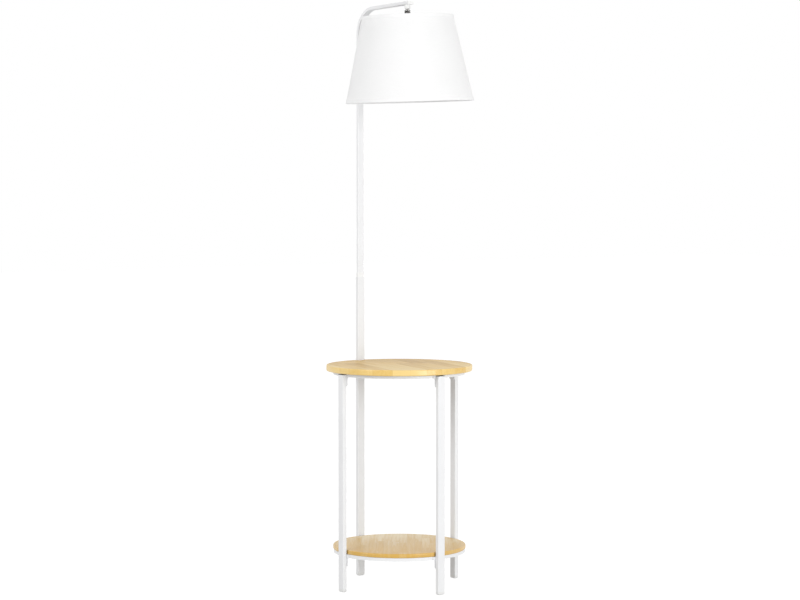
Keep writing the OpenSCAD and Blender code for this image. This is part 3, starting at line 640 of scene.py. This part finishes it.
weave_group, given = open_group("plain_weave", {"Threads per metre": 1300.0}, ["Height", "Slub"])
tree = weave_group
wobble = add_node(tree, "TexNoise", {"Vector": given["Vector"], "Scale": WOBBLE, "Detail": 3})
threads = add_vector_math(tree, "MULTIPLY", given["Vector"], given["Threads per metre"])
pushed = add_vector_math(tree, "MULTIPLY_ADD", wobble.outputs["Color"], WANDER, threads)
split = add_node(tree, "SeparateXYZ", {0: pushed}).outputs


def add_ridges(tree, count):
    """Round ridges across a thread count, one for each thread."""
    return add_math(tree, "ABSOLUTE", add_math(
        tree, "SINE", add_math(tree, "MULTIPLY", count, math.pi)))


cell = add_math(tree, "ADD", add_math(tree, "FLOOR", split[0]), add_math(tree, "FLOOR", split[1]))
checker = add_math(tree, "ABSOLUTE", add_math(tree, "MODULO", cell, 2))
warp = add_math(tree, "MULTIPLY", add_ridges(tree, split[0]),
                add_math(tree, "MULTIPLY_ADD", checker, 1 - UNDER, UNDER))
weft = add_math(tree, "MULTIPLY", add_ridges(tree, split[1]),
                add_math(tree, "MULTIPLY_ADD", checker, UNDER - 1, 1))
slub = add_noise(tree, add_vector_math(tree, "MULTIPLY", given["Vector"], SLUBS), 1, 2)
close_group(weave_group, Height=add_math(tree, "MAXIMUM", warp, weft), Slub=slub)

# %% Fabric finishes
SLUB_HEIGHT = 0.6                 # of a thread's height


def cloth_finish(name, light, dark, threads, depth, share, reach):
    """White woven fabric that lets a share of the light in, and lets it spread that far."""
    material, tree, shader = new_finish(name, Roughness=0.9, Specular_IOR_Level=0.15,
                                        Sheen_Weight=0.35, Sheen_Roughness=0.5,
                                        Subsurface_Weight=share, Subsurface_Scale=reach,
                                        Subsurface_Radius=(1, 1, 1))
    weave = add_group(tree, weave_group, add_node(tree, "UVMap").outputs["UV"],
                      Threads_per_metre=threads)
    colour = add_ramp(tree, weave["Slub"], [(NOISE_LOW, [dark] * 3), (NOISE_HIGH, [light] * 3)])
    height = add_math(tree, "ADD", weave["Height"],
                      add_math(tree, "MULTIPLY", weave["Slub"], SLUB_HEIGHT))
    dress_shader(tree, shader, colour, None, height, depth)
    print("finish:", name)
    return material


shade_fabric = cloth_finish("white_shade_fabric", light=0.98, dark=0.955, threads=1300.0,
                            depth=0.18 * MM, share=0.4, reach=4 * MM)
tape_fabric = cloth_finish("white_shade_tape", light=0.95, dark=0.92, threads=1800.0,
                           depth=0.12 * MM, share=0.1, reach=1 * MM)

# %% [markdown]
# ### The rolled fabric
#
# The cone starts as a cone primitive with no ends. Its rings are added by bisecting it at equal
# depths, which a loop cut would do by hand. The UV map is written in metres, for the weave. A
# finished piece keeps its place in its mesh, with its object at the origin, so one helper applies
# modifiers, and another applies the object's own move, turn and scale.


# %% Helpers for pieces
def activate(piece):
    """Makes one piece the only selected and active one."""
    deselect()
    piece.select_set(True)
    bpy.context.view_layer.objects.active = piece


def settle(piece):
    """Moves a piece's place into its mesh, so that its object sits at the origin."""
    activate(piece)
    bpy.ops.object.transform_apply(location=True, rotation=True, scale=True)


def apply_modifiers(piece):
    """Applies every modifier of a piece, from the top down."""
    activate(piece)
    for modifier in list(piece.modifiers):
        bpy.ops.object.modifier_apply(modifier=modifier.name)


def thicken(piece, thickness):
    """Gives a skin a wall that grows inwards, and applies every modifier."""
    wall = piece.modifiers.new("wall", "SOLIDIFY")
    wall.thickness = thickness
    wall.offset = -1
    apply_modifiers(piece)


def smooth(piece, degrees):
    """Shades a piece smooth, but for the edges that turn by more than an angle."""
    activate(piece)
    bpy.ops.object.shade_smooth_by_angle(angle=math.radians(degrees))


def place(piece, matrix):
    """Takes a piece to its place on the lamp."""
    piece.matrix_world = matrix @ piece.matrix_world
    settle(piece)


def finish_piece(piece, name, material, body, replaced=()):
    """Names a piece, gives it its finish, and says which body it rides on."""
    piece.name = name
    piece.data.name = name
    piece.data.materials.clear()
    piece.data.materials.append(material)
    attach(piece, body)
    if replaced:
        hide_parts(*replaced)
    size = [round(side / MM, 1) for side in piece.dimensions]
    print(f"{name}: {len(piece.data.polygons)} faces, {size} mm")


# %% Cone of the shade's cloth
GAP = 0.05 * MM                   # between layers
RINGS = 24
SEGMENTS = 160


def cone_uv(mesh):
    """A UV map in metres: round the cone at its middle height, and down its side."""
    if not mesh.uv_layers:
        mesh.uv_layers.new(name="cloth")
    layer = mesh.uv_layers[0]
    mid_r = (SHADE_TOP_R + SHADE_BOTTOM_R) / 2
    for polygon in mesh.polygons:
        middle = math.atan2(polygon.center.y, polygon.center.x)
        for loop_index in polygon.loop_indices:
            point = mesh.vertices[mesh.loops[loop_index].vertex_index].co
            angle = math.atan2(point.y, point.x)
            if angle - middle > math.pi:
                angle -= 2 * math.pi
            if middle - angle > math.pi:
                angle += 2 * math.pi
            layer.data[loop_index].uv = (angle * mid_r, -point.z * SIDE)


cloth_top = TAPE_T + GAP
cloth_bottom = SHADE_H - TAPE_T - GAP
inset = (TAPE_T + GAP) * SIDE
deselect()
bpy.ops.mesh.primitive_cone_add(
    vertices=SEGMENTS, radius1=shade_r(cloth_bottom) - inset, radius2=shade_r(cloth_top) - inset,
    depth=cloth_bottom - cloth_top, end_fill_type="NOTHING",
    location=(0, 0, -(cloth_top + cloth_bottom) / 2))
cloth = bpy.context.object
settle(cloth)
bpy.ops.object.mode_set(mode="EDIT")
for ring in range(1, RINGS):
    depth = cloth_top + (cloth_bottom - cloth_top) * ring / RINGS
    bpy.ops.mesh.select_all(action="SELECT")
    bpy.ops.mesh.bisect(plane_co=(0, 0, -depth), plane_no=(0, 0, 1))
bpy.ops.object.mode_set(mode="OBJECT")
cone_uv(cloth.data)
print("cone:", len(cloth.data.polygons), "faces in", RINGS, "rings")

# %% [markdown]
# The lining keeps the cloth taut between the wires, but it never lies perfectly round: it has slow
# waves a fraction of a millimetre deep, which is what makes real shades look alive in raking
# light. A Displace modifier with a large cloud texture does that, and Solidify then gives the wall
# its thickness. A vertex group keeps the cloth still along both rims and along its glued lap.

# %% Waves and wall of the cloth
CLOTH_T = 1.2 * MM                # fabric and lining together
WAVE_DEPTH = 0.7 * MM
WAVE_SIZE = 90 * MM
CALM = 40 * MM                    # the waves grow over this distance from a rim or the lap
LAP_AT = 142                      # degrees from the arm's direction to the lap of the cloth
LAP_W = 12 * MM

waves = bpy.data.textures.new("slow_waves", "CLOUDS")
waves.noise_scale = WAVE_SIZE
hold = cloth.vertex_groups.new(name="free_cloth")
for vertex in cloth.data.vertices:
    depth = -vertex.co.z
    off_lap = (math.degrees(math.atan2(vertex.co.y, vertex.co.x)) - LAP_AT + 180) % 360 - 180
    free = min(depth - cloth_top, cloth_bottom - depth,
               math.radians(abs(off_lap)) * SHADE_BOTTOM_R - LAP_W) / CALM
    hold.add([vertex.index], max(0.0, min(1.0, free)), "REPLACE")
sway = cloth.modifiers.new("waves", "DISPLACE")
sway.texture = waves
sway.texture_coords = "LOCAL"
sway.strength = -WAVE_DEPTH
sway.mid_level = 0.0
sway.vertex_group = "free_cloth"
thicken(cloth, CLOTH_T)
smooth(cloth, degrees=40)
place(cloth, to_lamp)
finish_piece(cloth, "shade_cloth", shade_fabric, "shade_head", ["shade_skin"])

# %% [markdown]
# ### The folded tapes
#
# Each rim is bound with a strip of the same fabric, folded over the edge and over the wire inside
# it. Its outline in section is a hook: down the outside, round the rim, and back up behind the
# wire. The section is drawn as a short chain of points, spun round the axis with the Spin
# operator, and thickened. A gentle pucker every few centimetres comes from where it was pressed.


# %% Helpers for spun pieces
SAME = 0.01 * MM                  # points closer than this are taken as one


def add_object(name, mesh):
    """Puts a mesh into the scene as a new object."""
    piece = bpy.data.objects.new(name, mesh)
    bpy.context.collection.objects.link(piece)
    return piece


def spin_section(name, section, steps, angle=2 * math.pi):
    """Spins a chain of (radius, height) points round the Z axis into a skin that faces outwards."""
    mesh = bpy.data.meshes.new(name)
    mesh.from_pydata([(radius, 0, height) for radius, height in section],
                     [(i, i + 1) for i in range(len(section) - 1)], [])
    piece = add_object(name, mesh)
    activate(piece)
    bpy.ops.object.mode_set(mode="EDIT")
    bpy.ops.mesh.select_all(action="SELECT")
    bpy.ops.mesh.spin(steps=steps, angle=angle, center=(0, 0, 0), axis=(0, 0, 1),
                      use_auto_merge=angle == 2 * math.pi)
    bpy.ops.mesh.select_all(action="SELECT")
    bpy.ops.mesh.remove_doubles(threshold=SAME)
    bpy.ops.mesh.normals_make_consistent(inside=False)
    bpy.ops.object.mode_set(mode="OBJECT")
    return piece


# %% Tapes
TRIM_H = 10 * MM
WIRE_D = 3 * MM
EDGE_R = 0.5 * MM
WRAP = TAPE_T + CLOTH_T + WIRE_D + 3 * GAP
PUCKER = 0.03 * MM
PUCKERS = 23                      # slow puckers round a rim
SLOW_SHARE = 0.6                  # their depth, next to that of the quick ones
QUICK = 2.3                       # how many quick ones go with each slow one


def bind_rim(name, section, node):
    """Spins a tape's section, given as (inwards, depth) points, round the shade's axis."""
    tape = spin_section(name, [(shade_r(depth) - inwards, -depth) for inwards, depth in section],
                        SEGMENTS)
    for vertex in tape.data.vertices:
        angle = math.atan2(vertex.co.y, vertex.co.x)
        pucker = PUCKER * abs(math.sin(angle * PUCKERS) * SLOW_SHARE
                              + math.sin(angle * PUCKERS * QUICK))
        vertex.co.x -= math.cos(angle) * pucker
        vertex.co.y -= math.sin(angle) * pucker
    cone_uv(tape.data)
    thicken(tape, TAPE_T)
    smooth(tape, degrees=50)
    place(tape, to_lamp)
    finish_piece(tape, name, tape_fabric, "shade_head", [node])
    return tape


top_tape = bind_rim(
    "shade_top_tape",
    [(0, TRIM_H), (0, EDGE_R * 2), (EDGE_R * 0.4, EDGE_R * 0.4), (EDGE_R * 2, 0),
     (WRAP - EDGE_R, 0), (WRAP, 0)],
    "shade_top_trim")
bottom_tape = bind_rim(
    "shade_bottom_tape",
    [(0, SHADE_H - TRIM_H), (0, SHADE_H - EDGE_R * 2), (EDGE_R * 0.4, SHADE_H - EDGE_R * 0.4),
     (EDGE_R * 2, SHADE_H), (WRAP, SHADE_H), (WRAP + EDGE_R * 1.2, SHADE_H - EDGE_R * 0.8),
     (WRAP + EDGE_R * 1.6, SHADE_H - EDGE_R * 2), (WRAP + EDGE_R * 1.6, SHADE_H - TRIM_H * 0.7)],
    "shade_bottom_trim")

# %% [markdown]
# ### The lap
#
# The rolled cloth closes with a lap about 12 mm wide, glued from tape to tape. Shops turn it to
# the wall, so it is on the side away from the camera. The upper layer is a narrow strip of the
# same cone that lies on the cloth.

# %% Lap
LAP_T = 0.35 * MM
LAP_STEPS = 4

lap_top = TRIM_H + GAP
lap_depths = [lap_top + (SHADE_H - 2 * lap_top) * i / RINGS for i in range(RINGS + 1)]
lap_turn = LAP_W / shade_r(SHADE_H / 2)
lap = spin_section("shade_lap", [(shade_r(depth) - inset + LAP_T, -depth) for depth in lap_depths],
                   LAP_STEPS, lap_turn)
if lap.data.polygons[0].normal.x < 0:
    lap.data.flip_normals()
place(lap, Matrix.Rotation(math.radians(LAP_AT) - lap_turn / 2, 4, "Z"))
cone_uv(lap.data)
thicken(lap, LAP_T - GAP / 2)
place(lap, to_lamp)
finish_piece(lap, "shade_lap", tape_fabric, "shade_head")

# %% [markdown]
# Unrolled, the cloth is an arc between two circles, and its blank is the rectangle that this arc
# is cut from. Half the arc's angle is pi times the sine of the cone's own half angle.

# %% [markdown]
# ## Screw threads under the shade
#
# The frame's lampholder and bulb base are plain, as wide as the crests of their threads. Here both
# get the thread itself. A section is spun into a skin whose outer wall has many close rows. Every
# point of that wall is then drawn in by how far it lies from the crest of a helix, and the thread
# fades out at both ends, as a moulded one does. The sizes come from the frame's own solids.

# %% Helpers for threads
ROUND_STEPS = 96                  # faces round a thread


def rows(radius, low, high, step):
    """A straight wall from one height to another, as close (radius, height) points."""
    count = max(1, round(abs(high - low) / step))
    return [(radius, low + (high - low) * i / count) for i in range(count + 1)]


def cut_thread(piece, crest_r, depth, pitch, low, high):
    """Draws the wall of a spun piece in to a right-hand thread between two heights."""
    for vertex in piece.data.vertices:
        radius = math.hypot(vertex.co.x, vertex.co.y)
        if abs(radius - crest_r) > SAME or not low < vertex.co.z < high:
            continue
        turn = vertex.co.z / pitch - math.atan2(vertex.co.y, vertex.co.x) / (2 * math.pi)
        fade = min(1, (vertex.co.z - low) / pitch, (high - vertex.co.z) / pitch)
        keep = 1 - depth * fade * (0.5 - 0.5 * math.cos(2 * math.pi * turn)) / radius
        vertex.co.x *= keep
        vertex.co.y *= keep


# %% Lampholder
LIP = 0.8 * MM
HOLDER_THREAD = {"depth": 0.8 * MM, "pitch": 2.5 * MM}
HOLDER_ROW = 0.3 * MM             # height of one row of faces in the thread
BORE_SLACK = 0.1 * MM             # points this near to the bore's radius belong to it
WIRE_HOLE_R = 1.6 * MM
WIRE_HOLE_AT = 6 * MM             # from the axis, to both sides
DRILL_LENGTH = 10 * MM

points = spun_points("lampholder_body")
holder_r = max(radius for radius, z in points)
holder_low = min(z for radius, z in points)
holder_top = max(z for radius, z in points)
bore_r = min(radius for radius, z in points if z < holder_low + LIP)
roof_z = max(z for radius, z in points if abs(radius - bore_r) < BORE_SLACK)
holder = spin_section(
    "holder", [(0, roof_z), (bore_r, roof_z), (bore_r, holder_low + LIP),
               (bore_r + LIP / 2, holder_low + LIP / 4), (bore_r + LIP, holder_low),
               (holder_r - LIP, holder_low), (holder_r - LIP / 3, holder_low + LIP / 3)]
    + rows(holder_r, holder_low + LIP, holder_top, HOLDER_ROW) + [(0, holder_top)], ROUND_STEPS)
cut_thread(holder, holder_r, low=holder_low + LIP, high=holder_top - LIP, **HOLDER_THREAD)
for side in (-1, 1):
    deselect()
    bpy.ops.mesh.primitive_cylinder_add(
        vertices=32, radius=WIRE_HOLE_R, depth=DRILL_LENGTH,
        location=(side * WIRE_HOLE_AT, 0, (roof_z + holder_top) / 2))
    drill = bpy.context.object
    settle(drill)
    wire_hole = holder.modifiers.new("wire_hole", "BOOLEAN")
    wire_hole.operation = "DIFFERENCE"
    wire_hole.object = drill
    apply_modifiers(holder)
    bpy.data.objects.remove(drill)
smooth(holder, degrees=40)
place(holder, from_pin)
finish_piece(holder, "threaded_lampholder", white_plastic, "shade_head",
             ["lampholder_body"])

# %% [markdown]
# The bulb's base is pressed from thin sheet, so its thread is round in section, with a plain skirt
# next to the glass. At its end a small dome of solder stands on a low glass cone.

# %% Bulb base
BASE_THREAD = {"depth": 1.1 * MM, "pitch": 3.6 * MM}
BASE_ROW = 0.35 * MM
SKIRT = 4 * MM                    # plain wall next to the glass
SHOULDER = 5 * MM                 # from the threaded wall's end to the tip of the solder
ROLL = 0.6 * MM                   # the wall's end is rolled in by this much
# (radius, distance from the tip) in millimetres: the shoulder, the glass cone and the solder
TIP = [(10.4, 4.0), (10.0, 3.6), (5.2, 1.3), (4.4, 1.2), (4.2, 0.7), (3.2, 0.2), (1.6, 0.03),
       (0, 0)]

points = spun_points("bulb_base")
base_r = max(radius for radius, z in points)
base_low = min(z for radius, z in points)
base_top = max(z for radius, z in points)
wall_top = base_top - SHOULDER
bulb_screw = spin_section(
    "bulb_screw", [(0, base_low)] + rows(base_r, base_low, wall_top, BASE_ROW)
    + [(base_r - ROLL, wall_top + ROLL)]
    + [(radius * MM, base_top - below * MM) for radius, below in TIP], ROUND_STEPS)
cut_thread(bulb_screw, base_r, low=base_low + SKIRT, high=wall_top, **BASE_THREAD)
smooth(bulb_screw, degrees=40)
place(bulb_screw, from_pin)
finish_piece(bulb_screw, "threaded_bulb_base", nickel, "shade_head", ["bulb_base"])

# %% [markdown]
# ## Weld beads on the ring frames
#
# Each ring is welded up from a rolled bar, four ears and four tabs. A bead closes the corner at
# both sides of every ear, and one runs under every tab. A bead is spun once for each length, from
# a section with the small steps that the welder's hand leaves, and copied into its corners.

# %% One weld bead
BAR_H = 9 * MM                    # height of a ring's rolled bar
BAR_T = 3 * MM                    # and its thickness
EAR_OUT = 2.3 * MM                # how far an ear's flat stands out of the bar
EAR_HALF = 18.5 * MM              # half the width of an ear's root
TAB_T = 2.5 * MM
TAB_W = 15 * MM
BEAD_R = 1.3 * MM
EAR_BEAD = 8.2 * MM               # length of the bead beside an ear
BEAD_OFF = 0.2 * MM               # from a corner to the middle of its bead
BEAD_OUT = 0.3 * MM               # from the bar's outside to the middle of an ear's bead
RIPPLE_STEP = 0.4 * MM            # a quarter of one ripple
RIPPLE = 0.1                      # its height, as a share of the bead's radius
BEAD_STEPS = 14


def weld_bead(length):
    """One rippled bead along Z from the origin."""
    count = round(length / RIPPLE_STEP)
    section = [(0, 0)]
    for i in range(1, count):
        height = length * i / count
        end = min(1, math.sqrt(min(height, length - height) / BEAD_R))
        section.append((BEAD_R * end * (1 + RIPPLE * math.cos(math.pi * i / 2)), height))
    return spin_section("bead", section + [(0, length)], BEAD_STEPS)


def copy_bead(bead, degrees, corner):
    """A copy of a bead with its own mesh, in its corner and turned round the ring's axis."""
    mesh = bead.data.copy()
    mesh.transform(Matrix.Rotation(math.radians(degrees), 4, "Z") @ corner)
    return add_object("bead", mesh)


# %% Beads of both rings
def weld_ring(node, name, ear_bead, tab_bead):
    """The beads of one ring frame, joined into one piece."""
    points = [vertex.co for vertex in nodes[node].data.vertices]
    bar_out = max(point.x for point in points) - EAR_OUT
    top = max(point.z for point in points)
    ear_x = math.sqrt(bar_out ** 2 - EAR_HALF ** 2) + BEAD_OUT
    ear_z = top - BAR_H + (BAR_H - EAR_BEAD) / 2
    under_tab = Matrix.Translation((bar_out - BAR_T - BEAD_OFF, -TAB_W / 2, top - TAB_T - BEAD_OFF))
    under_tab @= Matrix.Rotation(math.radians(-90), 4, "X")
    beads = []
    for quarter in range(4):
        for side in (-1, 1):
            beside_ear = Matrix.Translation((ear_x, side * (EAR_HALF + BEAD_OFF), ear_z))
            beads.append(copy_bead(ear_bead, 90 * quarter, beside_ear))
        beads.append(copy_bead(tab_bead, 90 * quarter + 45, under_tab))   # between two ears
    deselect()
    for bead in beads:
        bead.select_set(True)
    bpy.context.view_layer.objects.active = beads[0]
    bpy.ops.object.join()
    smooth(beads[0], degrees=60)
    finish_piece(beads[0], name, white_paint, "frame")


ear_bead = weld_bead(EAR_BEAD)
tab_bead = weld_bead(TAB_W)
weld_ring("upper_ring_frame", "upper_ring_welds", ear_bead, tab_bead)
weld_ring("lower_ring_frame", "lower_ring_welds", ear_bead, tab_bead)
for bead in (ear_bead, tab_bead):
    bpy.data.objects.remove(bead)
